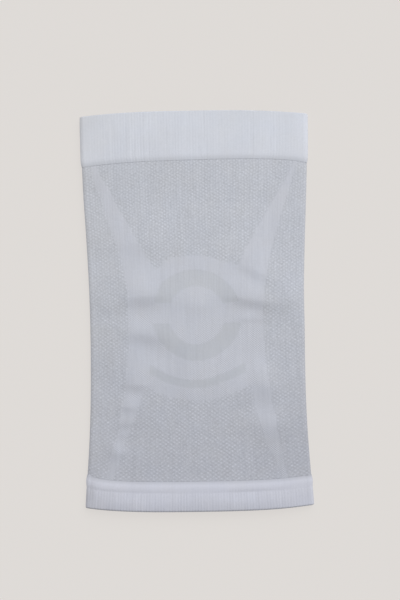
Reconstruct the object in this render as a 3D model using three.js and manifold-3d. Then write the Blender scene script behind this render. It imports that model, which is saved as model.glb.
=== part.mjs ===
// A knee compression sleeve lying flat: a seamless knitted tube with a ribbed cuff at each end.
// Let into its front wall are a web of plain knit with four tapering arms, two arcs of thinner knit
// round the kneecap, and one arc under it.
// Millimetres, +Z up. The sleeve runs along Y with its thigh end at +Y and its front face up.
// The origin is the middle of the face that it lies on.

import * as THREE from 'three';
import { mergeVertices } from 'three/addons/utils/BufferGeometryUtils.js';
import Module from 'manifold-3d';

// Overall sizes
const LENGTH = 273.4; // cuff edge to cuff edge, along the middle
const THIGH_CUFF_LENGTH = 32.4;
const CALF_CUFF_LENGTH = 20.9;
const THICKNESS = 9.6; // both walls and the hollow between them, at the middle of the tube
const CROWN_POWER = 6; // how flat the front lies before it falls to the folds
const FOLD_RADIUS = 2.9; // outside of the fold at each side
const KNIT_WALL = 1.5; // one layer of mesh or plain knit
const ARC_RECESS = 0.3; // how much thinner the arcs are than the knit around them
const SEAM_GAP = 0.3; // between pieces that meet

// Cuffs: two layers of rib knit, turned over at the edge
const CUFF_WALL = 2.2;
const CUFF_PROUD = 0.6; // how far a cuff stands out of the tube
const CUFF_ROUNDING = 0.9; // at the turned edge and at the seam
const RIB_COUNT = 162; // round the whole sleeve
const RIB_DEPTH = 0.3;
const CALF_HEM_CURL = 5; // how much of the calf cuff's edge curls over
const CALF_ROLL_LENGTH = 6.8; // smooth roll above the ribs of the calf cuff
const CALF_GROOVE_DEPTH = 0.5; // between that roll and the ribs

// Kneecap ring and tendon arc
const RING_CENTRE_Y = -2.2;
const RING_OUTER_RADIUS = 30.6;
const RING_INNER_RADIUS = 19.7;
const RING_SLOT = { top: 8.0, bottom: -6.2 }; // gap between the arcs, from the ring's centre
const TENDON_ARC = { radius: 55, width: 5.2, halfChord: 32.6, lowestY: -45.8, footShare: 0.9 };

// How each end bows outwards at the middle of the sleeve
const THIGH_END_BOW = 2.7;
const CALF_END_BOW = -3.4;
const BOW_POWER = 3;

// Half-width of the flat sleeve along its length
const OUTLINE = [
  { y: -137, half: 77.8 },
  { y: -127, half: 77.8 },
  { y: -116, half: 76.8 },
  { y: -95, half: 75.2 },
  { y: -67, half: 73.8 },
  { y: -30, half: 73.1 },
  { y: 10, half: 73.2 },
  { y: 40, half: 74.4 },
  { y: 70, half: 75.5 },
  { y: 104, half: 76.9 },
  { y: 116, half: 77.3 },
  { y: 137, half: 77.4 },
];

// Soft creases in the front wall: a valley at x, y that leans by so many millimetres for each one across
const CREASES = [
  { x: 0, y: 6, lean: 0, depth: 0.35, width: 7, reach: 70 },
  { x: 32, y: 6, lean: -0.21, depth: 0.9, width: 3.4, reach: 18 },
  { x: -33, y: 7, lean: -0.05, depth: 0.8, width: 3.4, reach: 16 },
  { x: -30, y: -20, lean: -0.24, depth: 0.6, width: 3.6, reach: 16 },
  { x: -42, y: -50, lean: 0, depth: 0.6, width: 3.8, reach: 12 },
  { x: 43, y: -57, lean: 0, depth: 0.6, width: 3.8, reach: 12 },
];

// Places along the tube where its section is drawn, close together where it creases
const TUBE_STATIONS = [
  -96, -76, -61, -56, -51, -46, -38, -24, -18, -12, -3, 2, 6, 10, 15, 30, 55, 80,
];

// Outline of one half of the support web, clockwise from the top of its thigh arm.
// The two curved stretches across the middle are drawn as arcs.
const WEB_HALF = {
  thighArm: [
    { x: 67.6, y: 101.0 },
    { x: 70.0, y: 101.0 },
    { x: 51.3, y: 38.4 },
    { x: 46.4, y: 14.6 },
  ],
  side: [
    { x: 45.6, y: -2.4 },
    { x: 46.2, y: -26.2 },
    { x: 48.3, y: -50.0 },
  ],
  calfArm: [
    { x: 52.6, y: -76.8 },
    { x: 56.9, y: -95.5 },
    { x: 61.8, y: -112.6 },
    { x: 57.8, y: -112.6 },
    { x: 50.0, y: -95.5 },
    { x: 43.0, y: -76.8 },
    { x: 36.0, y: -50.4 },
  ],
  thighJunction: { x: 29.4, y: 31.4 },
  thighArmInner: { x: 40.3, y: 49.5 },
};
const WEB_TOP_Y = 38.1; // crown of the arc above the kneecap ring
const WEB_BOTTOM_Y = -60.2; // foot of the arc below the tendon arc

// Finishes
const WHITE_RIB = new THREE.MeshStandardMaterial({ color: 0xe6e8ef, roughness: 0.9, metalness: 0 });
const WHITE_MESH = new THREE.MeshStandardMaterial({ color: 0xd9dce3, roughness: 0.92, metalness: 0 });
const WHITE_PLAIN = new THREE.MeshStandardMaterial({ color: 0xdfe1e8, roughness: 0.88, metalness: 0 });
const GREY_THIN = new THREE.MeshStandardMaterial({ color: 0xcfd2d4, roughness: 0.9, metalness: 0 });

const THIGH_END_Y = LENGTH / 2;
const CALF_END_Y = -LENGTH / 2;
const THIGH_SEAM_Y = THIGH_END_Y - THIGH_CUFF_LENGTH;
const CALF_SEAM_Y = CALF_END_Y + CALF_CUFF_LENGTH;
const FOLD_STEPS = 5;
const TOP_STEPS = 16;
const BOTTOM_STEPS = 4;
const ARC_STEPS = 9;
const SAME_POINT = 1e-4; // points nearer than this are one

const wasm = await Module();
wasm.setup();

// The outline's half-width at y, as a smooth curve through the table's rows.
function halfWidthAt(y) {
  const last = OUTLINE.length - 1;
  const found = OUTLINE.findIndex((row) => row.y >= y);
  const k = Math.min(Math.max(found === -1 ? last : found, 1), last);
  const [before, a, b, after] = [k - 2, k - 1, k, k + 1].map((i) => OUTLINE[Math.min(Math.max(i, 0), last)]);
  const span = b.y - a.y;
  const slopeA = ((b.half - before.half) / (b.y - before.y || 1)) * span;
  const slopeB = ((after.half - a.half) / (after.y - a.y || 1)) * span;
  const t = Math.min(Math.max((y - a.y) / span, 0), 1);
  const rise = t * t * (3 - 2 * t);
  return (
    a.half * (1 - rise) + b.half * rise + slopeA * t * (1 - t) * (1 - t) - slopeB * t * t * (1 - t)
  );
}

function creaseDepthAt(x, y) {
  return CREASES.reduce((sum, c) => {
    const across = (x - c.x) / c.reach;
    const along = (y - c.y - c.lean * (x - c.x)) / c.width;
    return sum + c.depth * Math.exp(-across * across - along * along);
  }, 0);
}

// Height of the front face: level at the folds, crowned between them, and creased.
function topHeightAt(x, y, flatHalf) {
  const across = Math.min(Math.abs(x) / flatHalf, 1);
  const crown = (1 - across ** CROWN_POWER) ** 2;
  return 2 * FOLD_RADIUS + (THICKNESS - 2 * FOLD_RADIUS - creaseDepthAt(x, y)) * crown;
}

// Where a point of a section stands along Y once the ends are bowed.
function bowedY(x, y, half) {
  const share = (y - CALF_END_Y) / LENGTH;
  const bow = CALF_END_BOW + (THIGH_END_BOW - CALF_END_BOW) * share;
  return y - bow * Math.min(Math.abs(x) / half, 1) ** BOW_POWER;
}

// One closed section of the sleeve at y, inset mm inside its outer face, as points round the loop:
// along the bottom to +X, round the fold, back over the top and round the other fold.
function section({ y, inset = 0, proud = 0 }) {
  const half = halfWidthAt(y) + proud - inset;
  const radius = FOLD_RADIUS + proud / 2 - inset;
  const flatHalf = half - radius;
  const points = [];
  const add = (x, z) => points.push(new THREE.Vector3(x, bowedY(x, y, half), z));
  for (let i = 1; i < BOTTOM_STEPS; i++) add(flatHalf * ((2 * i) / BOTTOM_STEPS - 1), inset);
  for (let i = 0; i <= FOLD_STEPS; i++) {
    const angle = (i / FOLD_STEPS - 0.5) * Math.PI;
    add(flatHalf + radius * Math.cos(angle), inset + radius * (1 + Math.sin(angle)));
  }
  for (let i = 1; i < TOP_STEPS; i++) {
    const x = flatHalf * (1 - (2 * i) / TOP_STEPS);
    add(x, topHeightAt(x, y, flatHalf) + proud - inset);
  }
  for (let i = 0; i <= FOLD_STEPS; i++) {
    const angle = (i / FOLD_STEPS + 0.5) * Math.PI;
    add(-flatHalf + radius * Math.cos(angle), inset + radius * (1 + Math.sin(angle)));
  }
  return points;
}

// The same loop with a rib for every two points: every second point is sunk into the cuff.
function ribbed(loop) {
  const path = new THREE.CurvePath();
  loop.forEach((point, i) => path.add(new THREE.LineCurve3(point, loop[(i + 1) % loop.length])));
  const points = path.getSpacedPoints(2 * RIB_COUNT).slice(0, -1);
  return points.map((point, i) => {
    if (i % 2 === 0) return point;
    const before = points[i - 1];
    const after = points[(i + 1) % points.length];
    const inward = new THREE.Vector3(before.z - after.z, 0, after.x - before.x).normalize();
    return point.clone().addScaledVector(inward, RIB_DEPTH);
  });
}

// How far round its loop each point lies, from 0 to 1, with the first point again at the end.
function sharesRound(loop) {
  const lengths = [0];
  loop.forEach((point, i) => lengths.push(lengths[i] + point.distanceTo(loop[(i + 1) % loop.length])));
  return lengths.map((length) => length / lengths.at(-1));
}

// A wall through a chain of loops that closes on itself, along the outer face and back along the inner one.
// Two neighbouring loops may have different numbers of points.
function wallThrough(loops) {
  const firsts = [];
  let count = 0;
  for (const loop of loops) {
    firsts.push(count);
    count += loop.length;
  }
  const faces = [];
  loops.forEach((a, k) => {
    const b = loops[(k + 1) % loops.length];
    const [firstA, firstB] = [firsts[k], firsts[(k + 1) % loops.length]];
    const [sharesA, sharesB] = [sharesRound(a), sharesRound(b)];
    let [i, j] = [0, 0];
    while (i < a.length || j < b.length) {
      const onA = firstA + (i % a.length);
      const onB = firstB + (j % b.length);
      const stepA = j === b.length || (i < a.length && sharesA[i + 1] <= sharesB[j + 1]);
      faces.push(onA, onB, stepA ? firstA + ((i + 1) % a.length) : firstB + ((j + 1) % b.length));
      if (stepA) i += 1;
      else j += 1;
    }
  });
  const geometry = new THREE.BufferGeometry().setFromPoints(loops.flat());
  geometry.setIndex(faces);
  return solidOf(geometry);
}

function solidOf(geometry) {
  geometry.deleteAttribute('normal');
  geometry.deleteAttribute('uv');
  const merged = mergeVertices(geometry, SAME_POINT);
  return new wasm.Manifold(
    new wasm.Mesh({
      numProp: 3,
      vertProperties: merged.attributes.position.array,
      triVerts: new Uint32Array(merged.index.array),
    }),
  );
}

function geometryOf(solid) {
  const mesh = solid.getMesh();
  const geometry = new THREE.BufferGeometry();
  geometry.setAttribute('position', new THREE.BufferAttribute(mesh.vertProperties, 3));
  geometry.setIndex(new THREE.BufferAttribute(mesh.triVerts, 1));
  geometry.computeVertexNormals();
  return geometry;
}

// The tube's wall between the two cuffs, with its outer face sunk by recess.
function tubeWall(recess = 0) {
  const stations = [CALF_SEAM_Y + SEAM_GAP / 2, ...TUBE_STATIONS, THIGH_SEAM_Y - SEAM_GAP / 2];
  const outer = stations.map((y) => section({ y, inset: recess }));
  const inner = stations.map((y) => section({ y, inset: KNIT_WALL }));
  return wallThrough([...outer, ...inner.reverse()]);
}

const cuffSection = ({ y, inset }) => section({ y, inset, proud: CUFF_PROUD });

// The inner face of a cuff, listed from its +Y end to its -Y end.
function cuffLining(from, to) {
  return [to, (from + to) / 2, from].map((y) => cuffSection({ y, inset: CUFF_WALL }));
}

// The wide cuff above the knee, ribbed from its seam to its turned edge.
function thighCuff() {
  const from = THIGH_SEAM_Y + SEAM_GAP / 2;
  const ribs = [
    { y: from, inset: CUFF_ROUNDING },
    { y: from + CUFF_ROUNDING, inset: 0 },
    { y: THIGH_END_Y - CUFF_ROUNDING, inset: 0 },
    { y: THIGH_END_Y, inset: CUFF_ROUNDING },
  ];
  return wallThrough([...ribs.map((s) => ribbed(cuffSection(s))), ...cuffLining(from, THIGH_END_Y)]);
}

// The narrow cuff below the knee: a smooth roll at the seam, a groove, and ribs to its turned edge.
function calfCuff() {
  const to = CALF_SEAM_Y - SEAM_GAP / 2;
  const grooveY = to - CALF_ROLL_LENGTH;
  const ribs = [
    { y: CALF_END_Y, inset: CUFF_ROUNDING },
    { y: CALF_END_Y + CALF_HEM_CURL / 4, inset: CUFF_ROUNDING / 3 },
    { y: CALF_END_Y + CALF_HEM_CURL, inset: 0 },
    { y: grooveY - CUFF_ROUNDING, inset: 0 },
  ];
  const roll = [
    { y: grooveY, inset: CALF_GROOVE_DEPTH },
    { y: grooveY + CUFF_ROUNDING, inset: 0 },
    { y: to - 1.5 * CUFF_ROUNDING, inset: 0 },
    { y: to - CUFF_ROUNDING / 2, inset: CUFF_ROUNDING / 3 },
    { y: to, inset: CUFF_ROUNDING },
  ];
  const outer = [...ribs.map((s) => ribbed(cuffSection(s))), ...roll.map(cuffSection)];
  return wallThrough([...outer, ...cuffLining(CALF_END_Y, to)]);
}

const radiusOfArc = (halfChord, rise) => (halfChord ** 2 + rise ** 2) / (2 * rise);

// The support web's outline: four tapering arms, joined by an arc above the ring and one below.
function webOutline() {
  const { thighArm, side, calfArm, thighJunction, thighArmInner } = WEB_HALF;
  const foot = calfArm.at(-1);
  const right = [...thighArm, ...side, ...calfArm];
  const mirrored = [...right].reverse().map(({ x, y }) => ({ x: -x, y }));
  const footRadius = radiusOfArc(foot.x, foot.y - WEB_BOTTOM_Y);
  const footTurn = Math.asin(foot.x / footRadius);
  const crownRadius = radiusOfArc(thighJunction.x, WEB_TOP_Y - thighJunction.y);
  const crownTurn = Math.asin(thighJunction.x / crownRadius);
  const [up, down] = [Math.PI / 2, -Math.PI / 2];
  const outline = new THREE.Path();
  outline.moveTo(right[0].x, right[0].y);
  right.slice(1).forEach(({ x, y }) => outline.lineTo(x, y));
  outline.absarc(0, WEB_BOTTOM_Y + footRadius, footRadius, down + footTurn, down - footTurn, true);
  mirrored.slice(1).forEach(({ x, y }) => outline.lineTo(x, y));
  outline.lineTo(-thighArmInner.x, thighArmInner.y);
  outline.absarc(0, WEB_TOP_Y - crownRadius, crownRadius, up + crownTurn, up - crownTurn, true);
  outline.lineTo(thighArmInner.x, thighArmInner.y);
  return outline.getPoints(ARC_STEPS);
}

// Half of the ring round the kneecap, cut off level at the slot: side is 1 above it and -1 below.
function ringArcOutline(side) {
  const cut = side > 0 ? RING_SLOT.top : RING_SLOT.bottom;
  const outerAngle = Math.asin(cut / RING_OUTER_RADIUS);
  const innerAngle = Math.asin(cut / RING_INNER_RADIUS);
  const far = side * Math.PI;
  const outline = new THREE.Path();
  outline.absarc(0, RING_CENTRE_Y, RING_OUTER_RADIUS, outerAngle, far - outerAngle, side < 0);
  outline.absarc(0, RING_CENTRE_Y, RING_INNER_RADIUS, far - innerAngle, innerAngle, side > 0);
  return outline.getPoints(ARC_STEPS);
}

// The arc under the kneecap: a band that dips in the middle, with its lower edge a little shorter.
function tendonArcOutline() {
  const { radius, width, halfChord, lowestY, footShare } = TENDON_ARC;
  const centreY = lowestY + radius;
  const sweep = Math.asin(halfChord / radius);
  const footSweep = footShare * sweep;
  const down = -Math.PI / 2;
  const outline = new THREE.Path();
  outline.absarc(0, centreY, radius, down + sweep, down - sweep, true);
  outline.absarc(0, centreY, radius + width, down - footSweep, down + footSweep, false);
  return outline.getPoints(ARC_STEPS);
}

// The outline moved outwards by distance, corner by corner.
function grown(outline, distance) {
  const points = outline.filter((p, i) => p.distanceTo(outline[(i + 1) % outline.length]) > SAME_POINT);
  const sign = THREE.ShapeUtils.isClockWise(points) ? -1 : 1;
  return points.map((point, i) => {
    const before = points[(i + points.length - 1) % points.length];
    const after = points[(i + 1) % points.length];
    const arrive = point.clone().sub(before).normalize();
    const leave = after.clone().sub(point).normalize();
    const outA = new THREE.Vector2(arrive.y, -arrive.x);
    const outB = new THREE.Vector2(leave.y, -leave.x);
    const miter = outA.clone().add(outB).normalize();
    return point.clone().addScaledVector(miter, (sign * distance) / miter.dot(outA));
  });
}

// A tall block over the outline, from the middle of the hollow up through the front wall.
function frontBlock(outline, growth) {
  const geometry = new THREE.ExtrudeGeometry(new THREE.Shape(grown(outline, growth)), {
    depth: THICKNESS,
    bevelEnabled: false,
  });
  return solidOf(geometry.translate(0, 0, THICKNESS / 2));
}

const wall = tubeWall();
const thinWall = tubeWall(ARC_RECESS);
const web = webOutline();
const arcs = {
  kneecap_arc_upper: ringArcOutline(1),
  kneecap_arc_lower: ringArcOutline(-1),
  tendon_arc: tendonArcOutline(),
};
const halfGap = SEAM_GAP / 2;

let webSolid = wall.intersect(frontBlock(web, -halfGap));
for (const outline of Object.values(arcs)) webSolid = webSolid.subtract(frontBlock(outline, halfGap));

const sleeve = new THREE.Group();
function place(name, solid, material) {
  const mesh = new THREE.Mesh(geometryOf(solid), material);
  mesh.name = name;
  sleeve.add(mesh);
}

place('thigh_cuff', thighCuff(), WHITE_RIB);
place('knit_body', wall.subtract(frontBlock(web, halfGap)), WHITE_MESH);
place('support_web', webSolid, WHITE_PLAIN);
for (const [name, outline] of Object.entries(arcs)) {
  place(name, thinWall.intersect(frontBlock(outline, -halfGap)), GREY_THIN);
}
place('calf_cuff', calfCuff(), WHITE_RIB);

export default sleeve;
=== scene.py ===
import math

import bpy
import numpy as np
from mathutils.bvhtree import BVHTree
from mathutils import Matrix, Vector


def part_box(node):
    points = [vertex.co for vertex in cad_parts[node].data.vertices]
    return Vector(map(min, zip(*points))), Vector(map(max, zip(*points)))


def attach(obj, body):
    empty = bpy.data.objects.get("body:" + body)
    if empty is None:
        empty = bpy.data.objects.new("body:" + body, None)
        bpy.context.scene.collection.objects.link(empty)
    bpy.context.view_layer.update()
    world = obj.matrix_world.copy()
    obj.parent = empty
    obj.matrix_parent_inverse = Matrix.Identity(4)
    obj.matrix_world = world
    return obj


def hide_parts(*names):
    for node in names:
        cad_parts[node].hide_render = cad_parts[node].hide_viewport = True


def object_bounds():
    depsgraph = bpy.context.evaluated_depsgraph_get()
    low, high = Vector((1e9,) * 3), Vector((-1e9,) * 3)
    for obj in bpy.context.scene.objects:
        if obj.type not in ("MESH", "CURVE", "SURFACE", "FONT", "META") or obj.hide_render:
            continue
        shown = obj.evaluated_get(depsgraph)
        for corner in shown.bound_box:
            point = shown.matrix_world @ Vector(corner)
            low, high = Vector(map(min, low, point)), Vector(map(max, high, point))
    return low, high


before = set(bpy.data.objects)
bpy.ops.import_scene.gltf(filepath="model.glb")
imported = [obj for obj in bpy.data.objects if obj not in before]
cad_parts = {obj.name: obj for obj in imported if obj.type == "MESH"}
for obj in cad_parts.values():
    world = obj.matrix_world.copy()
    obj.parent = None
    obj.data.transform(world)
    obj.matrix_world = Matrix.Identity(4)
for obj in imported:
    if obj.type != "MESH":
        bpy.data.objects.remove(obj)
cadLow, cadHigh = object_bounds()
bodyLow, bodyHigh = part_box("knit_body")
webLow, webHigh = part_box("support_web")
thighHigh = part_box("thigh_cuff")[1]
calfLow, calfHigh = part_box("calf_cuff")
print("frame loaded:", len(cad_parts), "nodes")

mm = 1000  # millimetres in a metre

# how the flat tube lies, in metres
form = {
    "foldRadius": 0.0029,
    "crownHeight": bodyHigh.z,
    "slack": 0.0014,  # how far the front lies below its folds
    "slackEnd": 0.03,  # the slack runs out over this length at each end
    "calfPower": 8,  # the front is rounder at the thigh and flatter at the calf
    "kneePower": 6,
    "thighPower": 3.5,
    "foldPower": 24,  # the folds run out almost to the sides
    "thighBow": 0.0027,  # how far the thigh edge stands out at its middle
    "calfBow": -0.0034,
    "bowPower": 3,
    "seamGap": 0.00005,
    "seamDip": 0.00003,  # the tube sinks a little where it is knitted to a cuff
    "seamReach": 0.0014,
}

# soft folds across the front, in millimetres: each rises gently to its crest and falls off below it
folds = [
    {"x": -36, "y": 11.8, "lean": 0.06, "height": 3.4, "above": 16, "below": 7.2, "reach": 15},
    {"x": -62, "y": 6.5, "lean": 0.05, "height": 1.7, "above": 16, "below": 7.0, "reach": 14},
    {"x": 36, "y": 8.6, "lean": -0.15, "height": 3.2, "above": 14, "below": 6.0, "reach": 16},
    {"x": 48, "y": 4.0, "lean": -0.30, "height": 0.7, "above": 6, "below": 9.0, "reach": 8},
    {"x": 62, "y": 10.0, "lean": -0.10, "height": 2.8, "above": 22, "below": 12.0, "reach": 14},
    {"x": 0, "y": 6.0, "lean": -0.10, "height": 0.9, "above": 10, "below": 7.0, "reach": 14},
    {"x": 41, "y": 28.0, "lean": -0.45, "height": 2.0, "above": 18, "below": 6.5, "reach": 13},
    {"x": -60, "y": 49.0, "lean": 0.00, "height": 1.0, "above": 20, "below": 8.0, "reach": 22},
    {"x": -35, "y": -14.5, "lean": -0.16, "height": 2.2, "above": 9, "below": 6.5, "reach": 15},
    {"x": 36, "y": -5.0, "lean": 0.00, "height": 0.6, "above": 5, "below": 2.8, "reach": 9},
    {"x": 20, "y": -52.0, "lean": 0.10, "height": 1.2, "above": 20, "below": 14.0, "reach": 15},
    {"x": -42, "y": -49.0, "lean": 0.00, "height": 1.8, "above": 9, "below": 4.6, "reach": 9},
    {"x": -47, "y": -64.5, "lean": 0.10, "height": 1.0, "above": 7, "below": 3.5, "reach": 6},
    {"x": -49, "y": -76.0, "lean": 0.10, "height": 0.8, "above": 5, "below": 3.2, "reach": 6},
    {"x": -51, "y": -84.5, "lean": 0.10, "height": 0.6, "above": 4, "below": 2.8, "reach": 5},
    {"x": -55, "y": -96.0, "lean": 0.10, "height": 1.3, "above": 7, "below": 5.0, "reach": 6},
    {"x": 46, "y": -50.0, "lean": -0.15, "height": 1.9, "above": 12, "below": 8.5, "reach": 8},
    {"x": 46, "y": -79.5, "lean": -0.10, "height": 1.8, "above": 8.5, "below": 13.0, "reach": 10},
    {"x": 54, "y": -98.0, "lean": -0.10, "height": 0.4, "above": 6, "below": 5.0, "reach": 6},
    {"x": -73, "y": -124.0, "lean": 0.00, "height": 2.4, "above": 14, "below": 11.0, "reach": 16},
]

# how far each side stands out from the solid's even outline, in millimetres along the sleeve
sides = [
    {"y": -130, "left": -0.2, "right": 0.5},
    {"y": -90, "left": -0.2, "right": 0.4},
    {"y": -65, "left": -0.1, "right": 0.6},
    {"y": -40, "left": 0.1, "right": 1.0},
    {"y": -12, "left": 0.1, "right": 1.2},
    {"y": 15, "left": 0.1, "right": 0.6},
    {"y": 80, "left": 0.5, "right": 0.5},
    {"y": 120, "left": 0.2, "right": 0.2},
]

# painted light and shade: soft spots where the knit's tone is raised or lowered to stand for the light and
# shade on the lying sleeve, in millimetres
paintedLightAndShade = [
    {"x": 68, "y": -88, "across": 20, "along": 32, "more": -0.040},
    {"x": 62, "y": -8, "across": 18, "along": 18, "more": -0.030},
    {"x": 56, "y": -86, "across": 9, "along": 8, "more": -0.060},
    {"x": 38, "y": -72, "across": 15, "along": 9, "more": 0.045},
    {"x": 38, "y": -40, "across": 13, "along": 12, "more": 0.050},
    {"x": 11, "y": -37, "across": 11, "along": 9, "more": 0.040},
    {"x": -17, "y": -29, "across": 8, "along": 5, "more": -0.040},
    {"x": -28, "y": -34, "across": 16, "along": 8, "more": 0.045},
    {"x": -70, "y": -88, "across": 20, "along": 42, "more": 0.038},
    {"x": -48, "y": -76, "across": 14, "along": 13, "more": -0.030},
    {"x": -54, "y": -92, "across": 6, "along": 7, "more": 0.040},
    {"x": -24, "y": -16, "across": 9, "along": 9, "more": -0.038},
    {"x": 30, "y": -9, "across": 7, "along": 6, "more": -0.025},
    {"x": -54, "y": 15, "across": 7, "along": 10, "more": -0.035},
    {"x": 4, "y": 62, "across": 14, "along": 15, "more": 0.020},
    {"x": -76, "y": 60, "across": 6, "along": 45, "more": 0.030},
    {"x": -52, "y": 80, "across": 12, "along": 30, "more": -0.020},
    {"x": -66, "y": 90, "across": 8, "along": 12, "more": -0.030},
    {"x": -71, "y": 17, "across": 6, "along": 10, "more": 0.035},
    {"x": 72, "y": 20, "across": 6, "along": 10, "more": 0.040},
    {"x": 64, "y": 96, "across": 9, "along": 9, "more": -0.045},
    {"x": -78, "y": 122, "across": 9, "along": 16, "more": -0.060},
    {"x": 77, "y": 122, "across": 7, "along": 16, "more": 0.090},
    {"x": 43, "y": 8, "across": 8, "along": 4, "more": -0.045},
    {"x": -24, "y": 25, "across": 9, "along": 9, "more": -0.028},
    {"x": -33, "y": 41, "across": 8, "along": 7, "more": -0.035},
    {"x": -77, "y": -127, "across": 5, "along": 10, "more": -0.180},
    {"x": -63, "y": -125, "across": 10, "along": 10, "more": -0.045},
    {"x": -66, "y": -135, "across": 16, "along": 4.5, "more": -0.080},
    {"x": -11, "y": -61, "across": 6, "along": 7, "more": -0.045},
    {"x": -71, "y": 88, "across": 4.5, "along": 9, "more": -0.055},
    {"x": -46, "y": 43, "across": 10, "along": 6, "more": -0.025},
    {"x": -36, "y": 3, "across": 16, "along": 14, "more": -0.020},
    {"x": 58, "y": -37, "across": 9, "along": 12, "more": -0.025},
    {"x": -40, "y": -42, "across": 16, "along": 6, "more": -0.035},
    {"x": 2, "y": -90, "across": 24, "along": 8, "more": -0.028},
    {"x": 29, "y": 45, "across": 10, "along": 10, "more": 0.030},
    {"x": -6, "y": -19, "across": 9, "along": 7, "more": 0.030},
    {"x": 0, "y": -50, "across": 42, "along": 13, "more": 0.018},
    {"x": 1, "y": 8, "across": 12, "along": 5, "more": 0.018},
    {"x": -45, "y": -60, "across": 6, "along": 5, "more": 0.025},
    {"x": -5, "y": -116, "across": 65, "along": 4, "more": 0.035},
    {"x": 74, "y": -130, "across": 8, "along": 6, "more": -0.050},
    {"x": -66, "y": 131, "across": 14, "along": 5, "more": -0.030},
    {"x": 28, "y": -61, "across": 12, "along": 5, "more": -0.030},
    {"x": 12, "y": -26, "across": 9, "along": 8, "more": 0.025},
]

# slow unevenness of the cloth, in waves for each metre across and along
waves = [
    {"across": 11.0, "along": 7.0, "turn": 0.4, "height": 0.00010},
    {"across": -6.0, "along": 16.0, "turn": 1.9, "height": 0.00009},
    {"across": 23.0, "along": -19.0, "turn": 3.1, "height": 0.00005},
    {"across": 3.0, "along": 37.0, "turn": 5.0, "height": 0.00004},
]


def nodePoints(name):
    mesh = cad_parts[name].data
    points = np.empty(len(mesh.vertices) * 3, np.float32)
    mesh.vertices.foreach_get("co", points)
    return points.reshape(-1, 3).astype(float)


# the outer edge of the tube along its length, as a smooth curve through the solid's outermost points
outline = {"step": 0.006, "degree": 6, "belowRadii": 1.5, "beyondShare": 0.9}


def edgeCurve():
    points = nodePoints("knit_body")
    low = points[:, 2] < outline["belowRadii"] * form["foldRadius"]
    points = points[low & (points[:, 0] > outline["beyondShare"] * bodyHigh.x)]
    band = np.round(points[:, 1] / outline["step"])
    outer = [points[band == b][np.argmax(points[band == b][:, 0])] for b in np.unique(band)]
    outer += [(calfHigh.x - cuff["proud"], calfLow.y + outline["step"], 0.0)]
    outer += [(thighHigh.x - cuff["proud"], thighHigh.y - outline["step"], 0.0)]
    outer = np.array(outer)
    return np.polyfit(outer[:, 1], outer[:, 0], outline["degree"])


def bowAt(y):
    share = (y - calfLow.y) / (thighHigh.y - calfLow.y)
    return form["calfBow"] + (form["thighBow"] - form["calfBow"]) * share


def sideAt(y, side):
    return np.interp(y * mm, [row["y"] for row in sides], [row[side] for row in sides]) / mm


def unevenAt(x, y):
    total = np.zeros(np.broadcast(x, y).shape)
    for row in folds:
        aside = x * mm - row["x"]
        along = y * mm - row["y"] - row["lean"] * aside
        along = along / np.where(along > 0, row["above"], row["below"])
        total += row["height"] / mm * np.exp(-((aside / row["reach"]) ** 2) - along**2)
    for row in waves:
        total += row["height"] * np.sin(2 * np.pi * (row["across"] * x + row["along"] * y) + row["turn"])
    return total


# adds up the painted light and shade at each point
def shadeAt(points):
    total = np.zeros(points.shape[:-1])
    for row in paintedLightAndShade:
        aside = (points[..., 0] * mm - row["x"]) / row["across"]
        along = (points[..., 1] * mm - row["y"]) / row["along"]
        total += row["more"] * np.exp(-(aside**2) - along**2)
    return total


tubeEnds = [bodyLow.y, bodyLow.y + form["slackEnd"], bodyHigh.y - form["slackEnd"], bodyHigh.y]

# the seams lie a little askew across the sleeve
seams = {
    "thighLevel": -0.0010, "thighTilt": 0.0011, "thighBow": -0.0007, "thighRight": -0.0014,
    "thighReach": 0.05, "calfLevel": 0.0001, "calfLeft": 0.0025, "calfReach": 0.03,
    "bowPower": 3, "sidePower": 11,
}


def seamShift(out, y):
    bow = seams["thighBow"] * np.abs(out) ** seams["bowPower"]
    thigh = seams["thighLevel"] + seams["thighTilt"] * out + bow
    thigh = thigh + seams["thighRight"] * np.clip(out, 0, 1) ** seams["sidePower"]
    thigh = thigh * np.interp(y, [bodyHigh.y - seams["thighReach"], bodyHigh.y, thighHigh.y], [0, 1, 0])
    calf = seams["calfLevel"] + seams["calfLeft"] * np.clip(-out, 0, 1) ** seams["sidePower"]
    return thigh + calf * np.interp(y, [calfLow.y, bodyLow.y, bodyLow.y + seams["calfReach"]], [0, 1, 0])


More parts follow.
